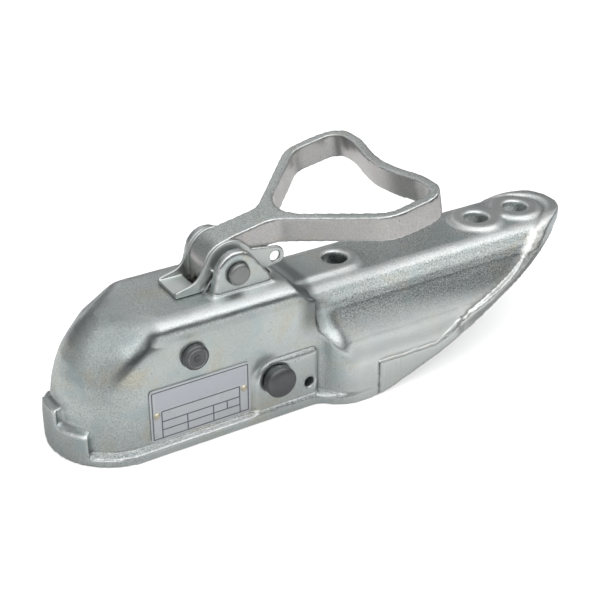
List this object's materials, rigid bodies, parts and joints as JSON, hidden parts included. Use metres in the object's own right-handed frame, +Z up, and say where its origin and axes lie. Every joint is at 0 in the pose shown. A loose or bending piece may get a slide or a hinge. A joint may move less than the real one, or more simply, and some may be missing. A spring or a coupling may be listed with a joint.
{
  "type": "trailer coupling head",
  "caption": "Forged trailer coupling head with a looped lever, a hidden locking cam and ball jaw, a safety catch and a flared bolt-on wing.",
  "frame": {"origin": "axis of the ball socket at the bottom face of the flange", "axes": "+X towards the tail of the wing, +Z up, -Y towards the wall that carries the type plate"},
  "size_m": [0.306, 0.099, 0.1084],
  "materials": {
    "forged_zinc": "bright zinc plate over a grainy forged surface",
    "zinc_sheet": "bright zinc plate on smooth sheet",
    "machined_steel": "machined, lightly greased",
    "dark_steel": "dark satin steel",
    "spring_steel": "drawn spring wire",
    "plate": "bare foil plate with thin dark ruled boxes"
  },
  "bodies": {
    "head": {"housing": "forged_zinc", "lever_pin": "dark_steel", "lever_pin_washer": "zinc_sheet", "jaw_pin": "dark_steel", "jaw_pin_washer": "zinc_sheet", "abutment_pin": "dark_steel", "abutment_pin_washer": "zinc_sheet", "cam_spacers": "machined_steel", "cam_spring": "spring_steel", "catch_spring": "spring_steel", "type_plate": "plate", "plate_rivets": "dark_steel"},
    "lever": {"lever": "forged_zinc", "drive_pin": "dark_steel"},
    "catch": {"safety_catch": "zinc_sheet"},
    "jaw": {"ball_jaw": "machined_steel"},
    "cam": {"locking_cam": "machined_steel"}
  },
  "joints": [
    {"name": "lever_turn", "type": "hinge", "parent": "head", "child": "lever", "pos_m": [0.0605, 0, 0.077], "axis": [0, -1, 0], "range_deg": [0, 60], "stiffness_Nm_per_rad": 0.4, "springref_deg": -34.38},
    {"name": "catch_tip", "type": "hinge", "parent": "head", "child": "catch", "pos_m": [0.0605, 0, 0.077], "axis": [0, 1, 0], "range_deg": [0, 8], "stiffness_Nm_per_rad": 0.05, "springref_deg": -28.65, "deforming": ["catch_spring"]},
    {"name": "jaw_swing", "type": "hinge", "parent": "head", "child": "jaw", "pos_m": [0.029, 0, 0.048], "axis": [0, -1, 0], "range_deg": [0, 10]},
    {"name": "cam_turn", "type": "hinge", "parent": "head", "child": "cam", "pos_m": [0.072, 0, 0.0225], "axis": [0, 1, 0], "range_deg": [0, 33.5], "deforming": ["cam_spring"]}
  ],
  "couplings": [
    {"joint": "jaw_swing", "follows": "lever_turn", "ratio": 0.1665},
    {"joint": "cam_turn", "follows": "lever_turn", "ratio": 0.557}
  ]
}
